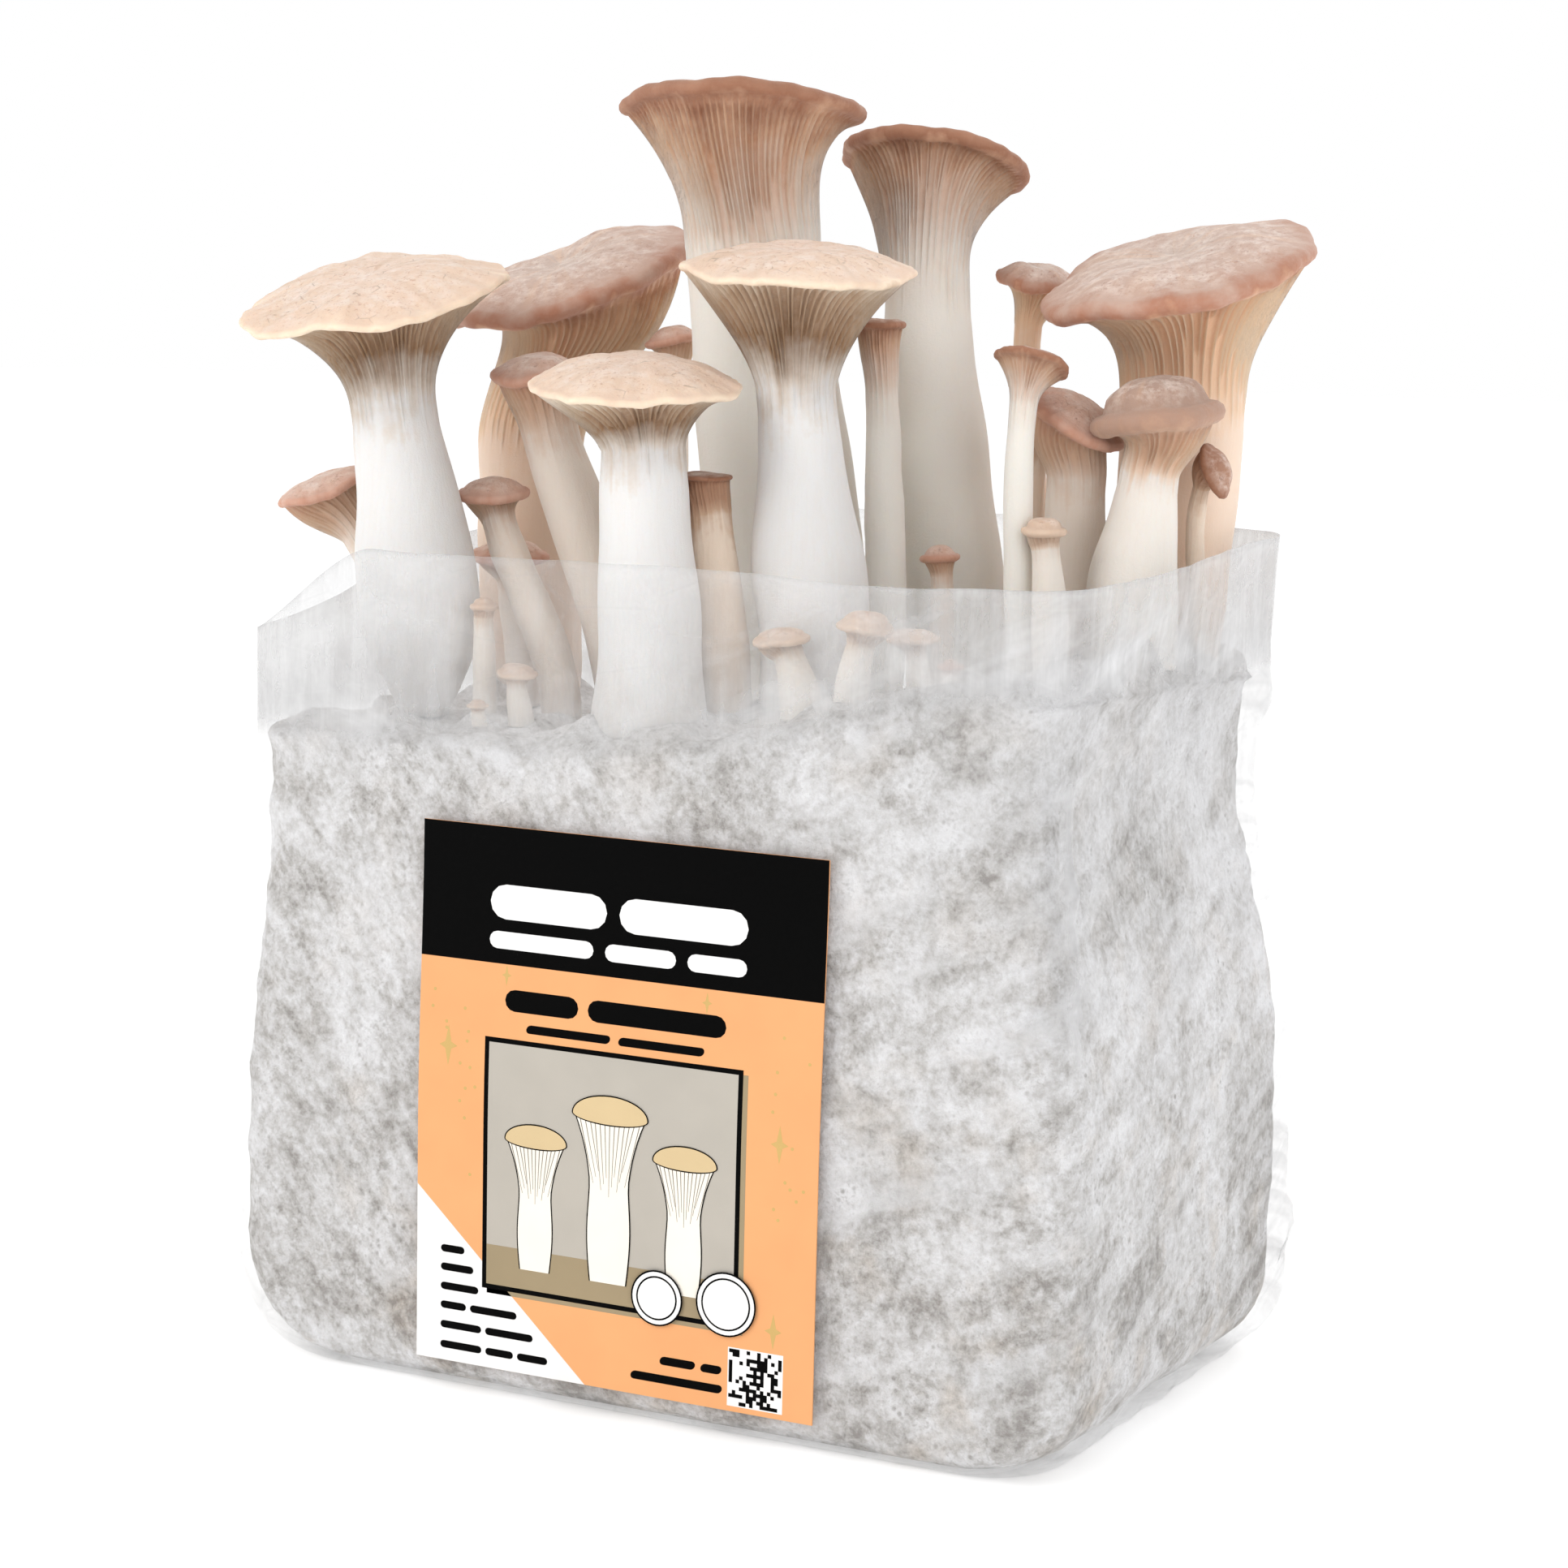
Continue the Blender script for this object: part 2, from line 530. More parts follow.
def mushroom_material(name, look):
    """Skin of a king trumpet: pale fibrous stem, brown gills with dark grooves, speckled velvety cap."""
    nodes = Nodes("mushroom_" + name)
    where = nodes.place()
    along = nodes.field("along")
    streak = nodes.field("streak")
    patches = nodes.noise(where, 9.0, 4.0, 0.6)
    wander = nodes.remap(patches, 0.3, 0.7, -0.04, 0.04)
    wander = nodes.math("ADD", wander, nodes.remap(streak, 0.0, 1.0, -0.03, 0.03))
    stops = tuple(zip(LOOK_STOPS, (look.foot, look.stem) + look[1:8]))
    colour = nodes.ramp(nodes.math("ADD", along, wander), stops)
    depth = nodes.times(nodes.field("groove"), nodes.remap(streak, 0.2, 0.8, 0.6, 1.0))
    colour = nodes.blend(depth, colour, look.groove)
    # Fibres run up the stem and the gills
    fibres = nodes.noise(nodes.place((1.0, 1.0, 0.07)), 1.1, 3.0, 0.6)
    on_stem = nodes.remap(along, 0.62, 0.68, 1.0, 0.0)
    shaded = nodes.remap(fibres, 0.40, 0.75, 0.0, 0.14)
    colour = nodes.blend(nodes.times(on_stem, shaded), colour, look.neck)
    # The cap: pale bloom, brown flecks, fine dark cracks and streaks out from the middle
    on_cap = nodes.remap(along, FRINGE_STARTS, FRINGE_ENDS, 0.0, 1.0)
    bloom = nodes.remap(nodes.noise(where, 4.2, 5.0, 0.7), 0.44, 0.66, 0.0, 0.60)
    colour = nodes.blend(nodes.times(on_cap, bloom), colour, tone(240, 226, 216))
    flecks = nodes.remap(nodes.noise(where, 1.1, 4.0, 0.75, 0.4), 0.55, 0.68, 0.0, 0.60)
    colour = nodes.blend(nodes.times(on_cap, flecks), colour, look.speck)
    rays = nodes.remap(streak, 0.50, 0.95, 0.0, 0.35)
    colour = nodes.blend(nodes.times(on_cap, rays), colour, look.outer)
    bent = nodes.add("VectorMath", operation="ADD")
    nodes.put(bent.inputs[0], where)
    nodes.put(bent.inputs[1], nodes.add("TexNoise", Vector=where, Scale=0.4).outputs["Color"])
    net = nodes.remap(nodes.spots(bent.outputs[0], 5.5, "DISTANCE_TO_EDGE"), 0.0, 0.035, 1.0, 0.0)
    broken = nodes.remap(nodes.noise(where, 6.0, 2.0), 0.56, 0.64, 0.0, 0.45)
    cracks = nodes.times(nodes.times(net, broken), on_cap)
    colour = nodes.blend(cracks, colour, look.groove)
    grain = nodes.noise(where, 0.6, 4.0, 0.7)
    normal = nodes.bump(fibres, 0.28, 0.5)
    normal = nodes.bump(grain, 0.22, 0.55, normal)
    normal = nodes.bump(nodes.times(cracks, -1.0), 0.25, 0.5, normal)
    roughness = nodes.remap(nodes.math("ADD", patches, grain), 0.7, 1.3, 0.55, 0.75)
    return nodes.finish(Base_Color=colour, Roughness=roughness, Normal=normal, Subsurface_Weight=0.25,
                        Subsurface_Radius=(1.0, 0.66, 0.46), Subsurface_Scale=2.2 * MM,
                        Specular_IOR_Level=0.3, Sheen_Weight=0.10, Sheen_Roughness=0.6)


def block_material():
    """Sawdust grown through with mycelium: white felt, grey and warm patches, streaks and dark specks."""
    nodes = Nodes("mycelium")
    where = nodes.place()
    parts = nodes.add("SeparateXYZ", Vector=where)
    low_down = nodes.remap(parts.outputs["Z"], 15.0, 105.0, 1.0, 0.0)
    along_wall = nodes.math("ADD", parts.outputs["X"], parts.outputs["Y"])
    clouds = nodes.noise(where, 28.0, 3.0, 0.55, 0.8)
    patches = nodes.noise(where, 7.5, 5.0, 0.68, 0.4)
    felt = nodes.noise(where, 1.9, 5.0, 0.75)
    rising = nodes.noise(nodes.wrapped(38.0, 6.5, 21.0), 1.0, 3.0, 0.5)
    falling = nodes.noise(nodes.wrapped(15.0, 3.4, -56.0), 1.0, 4.0, 0.6)
    share = nodes.remap(along_wall, -80.0, 0.0)
    dragged = nodes.math("ADD", nodes.times(share, rising),
                         nodes.times(nodes.math("SUBTRACT", 1.0, share), falling))
    mix = nodes.times(clouds, 0.24)
    for part, weight in ((patches, 0.27), (felt, 0.29), (dragged, 0.20), (low_down, -0.030)):
        mix = nodes.math("ADD", mix, nodes.times(part, weight))
    colour = nodes.ramp(nodes.remap(mix, 0.395, 0.575), (
        (0.0, tone(142, 136, 130)), (0.25, tone(183, 179, 175)), (0.5, tone(213, 211, 210)),
        (0.75, tone(233, 232, 233)), (1.0, tone(246, 246, 248))))
    warm = nodes.remap(nodes.noise(where, 17.0, 3.0, 0.6), 0.52, 0.70, 0.0, 0.55)
    warm = nodes.times(warm, nodes.remap(low_down, 0.0, 1.0, 0.45, 1.3))
    colour = nodes.blend(warm, colour, nodes.blend(1.0, colour, tone(234, 220, 202), "MULTIPLY"))
    grains = nodes.remap(nodes.noise(where, 0.8, 2.0, 0.6), 0.56, 0.66, 0.0, 0.5)
    dots = nodes.remap(nodes.spots(where, 2.2), 0.14, 0.34, 1.0, 0.0)
    dots = nodes.times(dots, nodes.remap(nodes.noise(where, 3.4, 2.0), 0.44, 0.58))
    area = nodes.math("ADD", nodes.remap(nodes.noise(where, 15.0, 4.0, 0.65), 0.44, 0.62, 0.0, 0.50),
                      nodes.times(low_down, 0.20))
    specks = nodes.times(nodes.math("MAXIMUM", grains, dots), area)
    colour = nodes.blend(specks, colour, tone(112, 103, 95))
    strands = nodes.noise(nodes.place((1.0, 1.0, 0.35)), 0.8, 4.0, 0.7)
    normal = nodes.bump(felt, 1.3, 0.8)
    normal = nodes.bump(dragged, 1.2, 0.4, normal)
    normal = nodes.bump(strands, 0.35, 0.8, normal)
    roughness = nodes.remap(felt, 0.3, 0.7, 0.95, 0.75)
    return nodes.finish(Base_Color=colour, Roughness=roughness, Normal=normal, Sheen_Weight=0.2,
                        Sheen_Roughness=0.5)


def film_material():
    """Clear polythene: faintly milky, hazier where it stands free above the block, creased and dragged."""
    nodes = Nodes("film")
    where = nodes.place()
    haze = nodes.field("haze")
    clouds = nodes.noise(where, 16.0, 4.0, 0.6, 0.5)
    upright = nodes.noise(nodes.place((1.0, 1.0, 0.10)), 4.0, 4.0, 0.6)
    drags = nodes.noise(nodes.wrapped(48.0, 6.5, 21.0), 1.0, 2.0, 0.5)
    along_wall = nodes.add("SeparateXYZ", Vector=where)
    along_wall = nodes.math("ADD", along_wall.outputs["X"], along_wall.outputs["Y"])
    on_right = nodes.remap(along_wall, -70.0, -10.0)
    creases = nodes.spots(nodes.place((0.8, 0.8, 1.25)), 15.0, "DISTANCE_TO_EDGE")
    crease_line = nodes.remap(creases, 0.0, 0.035, 1.0, 0.0)
    uneven = nodes.math("ADD", nodes.remap(clouds, 0.3, 0.7, 0.75, 1.25),
                        nodes.remap(upright, 0.35, 0.7, -0.25, 0.35))
    alpha = nodes.times(haze, uneven)
    alpha = nodes.math("ADD", alpha, nodes.times(on_right, nodes.remap(drags, 0.54, 0.70, 0.0, 0.20)))
    alpha = nodes.math("ADD", alpha, nodes.times(crease_line, 0.03))
    colour = nodes.ramp(clouds, ((0.3, tone(200, 200, 201)), (0.7, tone(222, 222, 223))))
    normal = nodes.bump(clouds, 0.6, 0.4)
    normal = nodes.bump(drags, 0.8, 0.4, normal)
    roughness = nodes.remap(clouds, 0.3, 0.7, 0.22, 0.40)
    return nodes.finish(Base_Color=colour, Roughness=roughness, Alpha=alpha, Normal=normal,
                        Specular_IOR_Level=0.35)


def ink_material(name, colour):
    """Print on a coated paper label: an even ink with a faint grain."""
    nodes = Nodes(name)
    where = nodes.place()
    grain = nodes.noise(where, 0.9, 3.0)
    mottle = nodes.noise(where, 12.0, 2.0)
    shade = tuple(part * 0.95 for part in colour[:3]) + (1.0,)
    mixed = nodes.blend(nodes.remap(mottle, 0.3, 0.7), colour, shade)
    normal = nodes.bump(grain, 0.03, 0.3)
    roughness = nodes.remap(grain, 0.3, 0.7, 0.56, 0.66)
    return nodes.finish(Base_Color=mixed, Roughness=roughness, Normal=normal, Specular_IOR_Level=0.05)


# ---------------------------------------------------------------- mushrooms

def curve_points(controls, share):
    """Points and directions on a cubic Bezier curve."""
    a, b, c, d = controls
    share = share[:, None]
    rest = 1.0 - share
    points = a * rest ** 3 + b * 3 * rest ** 2 * share + c * 3 * rest * share ** 2 + d * share ** 3
    slope = (b - a) * rest ** 2 + (c - b) * 2 * rest * share + (d - c) * share ** 2
    return points, slope / np.linalg.norm(slope, axis=1, keepdims=True)


def stem_radius(girth, share):
    """Radius of the stem from foot to belly to neck."""
    foot, belly, neck = girth
    lower = foot + (belly - foot) * np.sin(math.pi / 2 * share / BELLY_AT)
    upper = belly + (neck - belly) * smooth((share - BELLY_AT) / (1.0 - BELLY_AT))
    return np.where(share < BELLY_AT, lower, upper)


def unit(vector):
    return vector / np.linalg.norm(vector)


def stem_and_funnel(kind):
    """Curves of the stem and of the funnel, the crown and the cap's upward direction."""
    foot = np.array([*kind.foot, top_height(*kind.foot) - FOOT_SINK])
    neck = np.array(kind.neck, float)
    crown = np.array(kind.crown, float)
    lean_x, lean_y = kind.lean
    up = np.array([lean_x, lean_y, math.sqrt(1.0 - lean_x ** 2 - lean_y ** 2)])
    bend = unit(unit(crown - neck) + unit(neck - foot))
    stem_pull = np.linalg.norm(neck - foot) / 3.0
    funnel_pull = np.linalg.norm(crown - neck) / 3.0
    stem = (foot, foot + np.array([0, 0, stem_pull]), neck - bend * stem_pull, neck)
    funnel = (neck, neck + bend * funnel_pull, crown - up * funnel_pull, crown)
    return stem, funnel, crown, up


def make_mushroom(kind, seed, materials):
    """One mushroom, a single grown piece: lumpy stem, gilled funnel, wavy thin rim and low cap."""
    random = np.random.default_rng(seed)
    stem_rows, funnel_rows, edge_rows, top_rows = (34, 32, 7, 26) if kind.rim > 15.0 else (22, 18, 6, 14)
    on_edge_and_top = np.zeros(edge_rows + top_rows)
    stem, funnel, crown, up = stem_and_funnel(kind)
    rounded = kind.look in ("bun", "button")
    edge = min(kind.lip / 2.0, THIN_EDGE) if kind.look == "cream" else kind.lip / 2.0

    on_stem = np.linspace(0.0, 1.0, stem_rows, endpoint=False)
    on_funnel = np.linspace(0.0, 1.0, funnel_rows) ** 0.9
    on_edge = np.radians(np.linspace(-70.0, 90.0, edge_rows))
    on_top = np.linspace(0.0, 1.0, top_rows + 1)[1:] ** 0.85
    stem_centre, stem_way = curve_points(stem, on_stem)
    funnel_centre, funnel_way = curve_points(funnel, on_funnel)
    inner = 1.0 - on_top * 0.985
    cap_rows = edge_rows + top_rows
    centre = np.concatenate([stem_centre, funnel_centre, np.repeat(crown[None], cap_rows, axis=0)])
    way = np.concatenate([stem_way, funnel_way, np.repeat(up[None], cap_rows, axis=0)])
    radius = np.concatenate([
        stem_radius(kind.girth, on_stem),
        kind.girth[2] + (kind.rim - edge - kind.girth[2]) * on_funnel ** kind.curl,
        kind.rim - edge + edge * 1.15 * np.cos(on_edge),
        (kind.rim - edge) * inner])
    sink = 0.08 * kind.rim if kind.look in ("gilled", "frosted") else 0.02 * kind.rim
    rise = kind.lip + kind.dome - 2.0 * edge
    profile = np.sqrt(1.0 - inner ** 2) if rounded else 1.0 - inner ** 2.4
    height = np.concatenate([
        np.zeros(stem_rows + funnel_rows),
        edge + edge * np.sin(on_edge),
        2.0 * edge + rise * profile - sink * dip(inner, 0.0, 0.4)])
    along = np.concatenate([on_stem, 1.0 + on_funnel, 2.0 + 0.2 * np.linspace(0, 1, edge_rows),
                            2.2 + 0.8 * on_top]) / 3.0
    spread = np.concatenate([0.0 * on_stem, on_funnel ** 2.5, np.ones(edge_rows), inner ** 1.5])

    # Columns: two sides and the sharp edge of each gill
    turn = math.tau / kind.gills
    gill = np.repeat(np.arange(kind.gills), 3)
    side = np.tile([-1.0, 0.0, 1.0], kind.gills)
    jitter = random.uniform(-0.16, 0.16, kind.gills)[gill]
    angle = turn * (gill + jitter + side * GILL_WIDTH)
    sway = 0.10 * turn * np.sin(9.0 * along[:, None] + random.uniform(0, math.tau, kind.gills)[gill])
    gilled_rows = ((along > 0.25) & (along < 0.70))[:, None]
    angles = angle + np.where(gilled_rows, sway, 0.0) + 0.35 * random.uniform(-1, 1) * along[:, None]

    across = np.array([1.0, 0.0, 0.0]) - way * way[:, :1]
    across /= np.linalg.norm(across, axis=1, keepdims=True)
    beside = np.cross(way, across)
    cosine, sine = np.cos(angles)[..., None], np.sin(angles)[..., None]
    flat_way = across[:, None] * cosine + beside[:, None] * sine
    plain = centre[:, None] + flat_way * radius[:, None, None] + (way * height[:, None])[:, None]

    # The rim waves in and out and up and down, with small nicks
    out_wave = np.zeros_like(angles)
    lift_wave = np.zeros_like(angles)
    for lobes in (2, 3, 4, 5, 7, 11, 17, 26):
        strength = kind.wave / lobes ** 0.75
        for wave in (out_wave, lift_wave):
            reach = strength * random.uniform(0.5, 1.2)
            wave += reach * np.cos(lobes * angles + random.uniform(0, math.tau))
    lumps = ripple(plain, 0.9 * kind.girth[1] + 3.0, seed + 500)
    fine_lumps = ripple(plain, 3.5, seed + 900)
    stem_part = np.concatenate([smooth(on_stem * 8.0), 1.0 - on_funnel, on_edge_and_top])
    girth_wave = 0.05 * lumps * stem_part[:, None]
    swell = 1.0 + out_wave * spread[:, None] + girth_wave
    points = centre[:, None] + flat_way * (radius[:, None] * swell)[..., None]
    lift = height[:, None] + kind.rim * 0.8 * lift_wave * spread[:, None]
    on_cap = np.concatenate([np.zeros(stem_rows + funnel_rows + edge_rows), smooth(on_top * 4.0)])
    lift = lift + on_cap[:, None] * (0.022 * kind.rim * lumps + 0.22 * fine_lumps)
    points = points + way[:, None] * lift[..., None]

    # Gills: sharp plates that stand on a floor set into the funnel, every other one fading out inwards
    depth_down = np.concatenate([smooth((on_stem - 0.84) / 0.16) * 0.35,
                                 0.35 + 0.65 * smooth(on_funnel / 0.5), on_edge_and_top])
    depth_down *= np.concatenate([np.ones(stem_rows), smooth((1.0 - on_funnel) / 0.07), on_edge_and_top])
    begins = np.where(np.arange(kind.gills) % 2 == 0, -1.0, random.uniform(0.0, 0.7, kind.gills))
    ends = random.uniform(-0.16, 0.0, kind.gills)
    reach = along[:, None] * 3.0 - 1.0
    present = smooth((reach - begins[gill]) / 0.15) * smooth((reach - ends[gill]) / 0.12)
    edge_share = np.where(side == 0.0, 1.0, 0.0) * present
    depth = min(1.2, 0.05 * kind.rim + 0.1) * depth_down[:, None]
    points = points - outward(points) * (depth * (1.0 - edge_share))[..., None]
    groove = (1.0 - edge_share) * smooth(depth_down * 1.5)[:, None] * GROOVE_SHADE

    # Streaks run out from the stem, finer towards the rim
    circle = np.stack([np.cos(angles), np.sin(angles), 0.25 * along[:, None] + 0.0 * angles], axis=-1)
    streak = 0.5 + 0.28 * ripple(circle * 6.0, 1.0, seed + 40) + 0.22 * ripple(circle * 17.0, 1.0, seed + 41)

    points = fitted(points, plain, kind.name)
    fields = {"along": along[:, None], "groove": groove, "streak": streak}
    piece = grid_piece(kind.name + "_body", points, fields)
    return settle(piece, materials[kind.look], "mushroom", kind.name)


# ---------------------------------------------------------------- block, bag and label

def edge_start(x, y):
    """Height where the wall begins to round over into the block's top."""
    return top_height(x, y) - TOP_EDGE_RADIUS


def cut_edge(x, y):
    """Height of the film's cut edge, a little uneven."""
    place = np.stack([x, y], axis=-1)
    return rim_height(x, y) + 0.6 * ripple(place, 34.0, 31) + 0.12 * ripple(place, 9.0, 32)


def block_rows():
    """Rows of the plain block, from the middle of its bottom to the middle of its top."""
    columns = columns_round(10, 112, 62)
    base = base_rows(columns, 0.0, 14, 5)
    crown = level_rows(columns, [TOP_LOW], 0.0)[0]
    rows = [base, rising_rows(columns, 0.0, BLOCK_BOTTOM + LEFT_EDGE_RADIUS, edge_start, 62)]
    for turn in np.radians(np.linspace(18.0, 90.0, 5)):
        pull = TOP_EDGE_RADIUS * (1.0 - np.cos(turn))
        row = crown * (1.0 - pull / np.array([RIGHT_FACE, BACK_FACE, math.inf]))
        row[:, 2] = top_height(crown[:, 0], crown[:, 1]) - TOP_EDGE_RADIUS * (1.0 - np.sin(turn))
        rows.append(row[None])
    inner = rows[-1][0]
    for share in np.linspace(1.0, 0.02, 44)[1:]:
        row = inner * np.array([share, share, 1.0])
        row[:, 2] = top_height(row[:, 0], row[:, 1])
        rows.append(row[None])
    return np.concatenate(rows)


def make_block():
    """The block: a felted, lumpy body whose mycelium climbs round every foot."""
    plain = block_rows()
    away = outward(plain)
    coarse = ripple(plain, 13.0, 11, 20)
    middle = ripple(plain, 5.5, 12, 20)
    fine = ripple(plain, 2.6, 13, 24)
    on_top = smooth((plain[..., 2] - top_height(plain[..., 0], plain[..., 1]) + 9.0) / 8.0)
    push = -0.9 + 0.35 * coarse + 0.35 * middle + 0.22 * fine
    push = push - 1.7 * np.abs(away[..., 0]) * (1.0 - on_top)
    push = np.minimum(push, -0.15) * (1.0 - on_top) + on_top * (1.5 * coarse + 0.8 * middle + 0.35 * fine)
    points = plain + away * push[..., None]
    low = plain[..., 2] < BLOCK_BOTTOM + 0.01
    points[low] = plain[low]
    for kind in MUSHROOMS:
        gap = np.hypot(plain[..., 0] - kind.foot[0], plain[..., 1] - kind.foot[1])
        reach = 4.0 + 0.35 * kind.girth[0]
        mound = smooth((kind.girth[0] + reach - gap) / reach)
        points[..., 2] += on_top * mound * (1.2 + 0.16 * kind.girth[0]) * (1.0 + 0.5 * middle)
    points = fitted(points, plain, "substrate_block")
    piece = grid_piece("mycelium_block", points, {})
    return settle(piece, block_material(), "substrate", "substrate_block")


def film_stand_off(points):
    """How far the film stands off its plain form: diagonal drags, upright folds and a loose collar."""
    x, y, z = points[..., 0], points[..., 1], points[..., 2]
    top = top_height(x, y)
    free = smooth((z - top + 6.0) / 14.0)
    drag = ripple(np.stack([(z - 0.5 * (x + y)) / 5.0, (x + y + 0.5 * z) / 34.0], axis=-1), 1.0, 21, 10)
    right = smooth((x + y * 0.4 + 10.0) / 70.0)
    drags = np.maximum(drag, 0.0) ** 1.6 * 1.25 * right * smooth((z - 10.0) / 20.0) * (1.0 - free)
    corner = smooth((np.abs(x) - 78.0) / 22.0)
    folds = ripple(np.stack([(x * 0.7 + y * 1.4) / 6.0, z / 60.0], axis=-1), 1.0, 22, 10)
    upright = np.maximum(folds, 0.0) * 0.7 * corner * (1.0 - free)
    soft = ripple(points, 26.0, 23, 12) * 0.45
    body = 0.35 + drags + upright + np.maximum(soft, -0.25)
    body = body + 1.6 * dip(x + y, NEAR_CREASE, 1.6) * near_crease_height(z)
    billow = ripple(np.stack([(x - y) / 24.0, z / 110.0], axis=-1), 1.0, 24, 10) * 1.5
    pleats = ripple(np.stack([(x + y * 1.2) / 8.0, z / 70.0], axis=-1), 1.0, 25, 10)
    collar = billow * smooth((z - top) / 22.0) + pleats * 0.3
    spread = body * (1.0 - free) + free * (0.2 + collar)
    under_label = (y < -40.0) * smooth((x - LABEL_LEFT + 9.0) / 5.0) * smooth((z - LABEL_BOTTOM + 9.0) / 5.0)
    under_label = under_label * smooth((LABEL_LEFT + LABEL_WIDTH + 9.0 - x) / 5.0)
    under_label = under_label * smooth((LABEL_BOTTOM + LABEL_HEIGHT + 9.0 - z) / 5.0)
    return spread * (1.0 - under_label) + 0.1 * under_label


def near_crease_height(z):
    """How strong the upright crease at the near corner is at a height."""
    return smooth((z - 86.0) / 10.0) * smooth((152.0 - z) / 10.0)


def film_haze(plain):
    """How milky the film is: clear on the block, hazy above it, most at both ends and along the cut edge."""
    x, y, z = plain[..., 0], plain[..., 1], plain[..., 2]
    free = smooth((z - top_height(x, y) + 7.0) / 10.0)
    rim_line = smooth((z - rim_height(x, y) + 2.2) / 1.6)
    left = smooth((-30.0 - x) / 35.0)
    right = smooth((x - 38.0) / 30.0)
    near_block = dip(z - top_height(x, y), 2.0, 9.0)
    loose = 0.13 + 0.15 * left + 0.20 * right + 0.13 * near_block + 0.08 * rim_line
    crease = 0.45 * dip(x + y, NEAR_CREASE, 1.3) * near_crease_height(z)
    smooth_zone = 0.07 * smooth((x - 45.0) / 30.0) * smooth((z - 100.0) / 40.0)
    return (0.08 + crease + smooth_zone) * (1.0 - free) + loose * free


def make_bag():
    """The film bag: one thin closed skin, outside up to the cut edge and inside back down."""
    columns = columns_round(12, 96, 52)
    wall_start = BLOCK_BOTTOM + LEFT_EDGE_RADIUS
    collar_guide = level_rows(columns, [RIM_HEIGHT], SKIN)[0]
    low = edge_start(collar_guide[:, 0], collar_guide[:, 1])
    plain = np.concatenate([
        base_rows(columns, SKIN, 12, 4),
        rising_rows(columns, SKIN, wall_start, edge_start, 46),
        rising_rows(columns, SKIN, low, cut_edge, 20)])
    stand_off = film_stand_off(plain)
    flat = plain[..., 2] < BLOCK_BOTTOM - SKIN + 0.01
    stand_off = np.where(flat, 0.0, stand_off) * smooth(plain[..., 2] / 8.0)
    outside = plain + outward(plain) * stand_off[..., None]
    outside[..., 2] = np.maximum(outside[..., 2], plain[..., 2].min())
    inside = outside - outward(outside) * FILM_THICKNESS
    inside[flat] = outside[flat] + np.array([0.0, 0.0, FILM_THICKNESS])
    points = fitted(np.concatenate([outside, inside[::-1]]), plain, "grow_bag")
    haze = film_haze(plain)
    piece = grid_piece("film_bag", points, {"haze": np.concatenate([haze, haze[::-1]])})
    return settle(piece, film_material(), "film", "grow_bag")


class Print:
    """Thin printed shapes of one colour on the label, in millimetres from its lower left corner."""

    def __init__(self, name, colour):
        self.name = name
        self.colour = colour
        self.body = bmesh.new()

    def shape(self, outline, layer, thickness=INK):
        """A flat printed shape, a closed plate whose face stands so many layers of ink high."""
        high = (layer + 1) * INK
        under = [self.body.verts.new((x, thickness - high, z)) for x, z in outline]
        over = [self.body.verts.new((x, -high, z)) for x, z in outline]
        self.body.faces.new(over)
        self.body.faces.new(under[::-1])
        for number in range(len(outline)):
            after = (number + 1) % len(outline)
            self.body.faces.new((under[number], under[after], over[after], over[number]))

    def bar(self, left, bottom, width, height, layer, slant=0.0):
        """A bar with rounded ends."""
        radius = height / 2.0
        outline = []
        for middle, start in ((left + width - radius, -90.0), (left + radius, 90.0)):
            for step in range(7):
                turn = math.radians(start + 30.0 * step)
                x = middle + radius * math.cos(turn)
                z = bottom + radius + radius * math.sin(turn)
                outline.append((x + slant * (z - bottom), z))
        self.shape(outline, layer)

    def box(self, left, bottom, width, height, layer, thickness=INK):
        self.shape([(left, bottom), (left + width, bottom), (left + width, bottom + height),
                    (left, bottom + height)], layer, thickness)

    def disc(self, x, z, radius, layer, sides=36):
        turns = [math.tau * step / sides for step in range(sides)]
        self.shape([(x + radius * math.cos(turn), z + radius * math.sin(turn)) for turn in turns], layer)

    def make(self):
        """Bend the shapes onto the label and make them one piece."""
        bmesh.ops.recalc_face_normals(self.body, faces=self.body.faces)
        for step in range(1, LABEL_BENDS):
            level = LABEL_HEIGHT * step / LABEL_BENDS
            everything = self.body.verts[:] + self.body.edges[:] + self.body.faces[:]
            bmesh.ops.bisect_plane(self.body, geom=everything, dist=1e-5, plane_co=(0, 0, level),
                                   plane_no=(0, 0, 1))
        for vertex in self.body.verts:
            x, y, z = vertex.co
            front = float(walls(np.array(LABEL_BOTTOM + z), LABEL_FRONT)[2])
            vertex.co = Vector((LABEL_LEFT + x, front + y, LABEL_BOTTOM + z)) * MM
        mesh = bpy.data.meshes.new(self.name)
        self.body.to_mesh(mesh)
        self.body.free()
        return settle(add_object(self.name, mesh), ink_material(self.name, self.colour), "label")


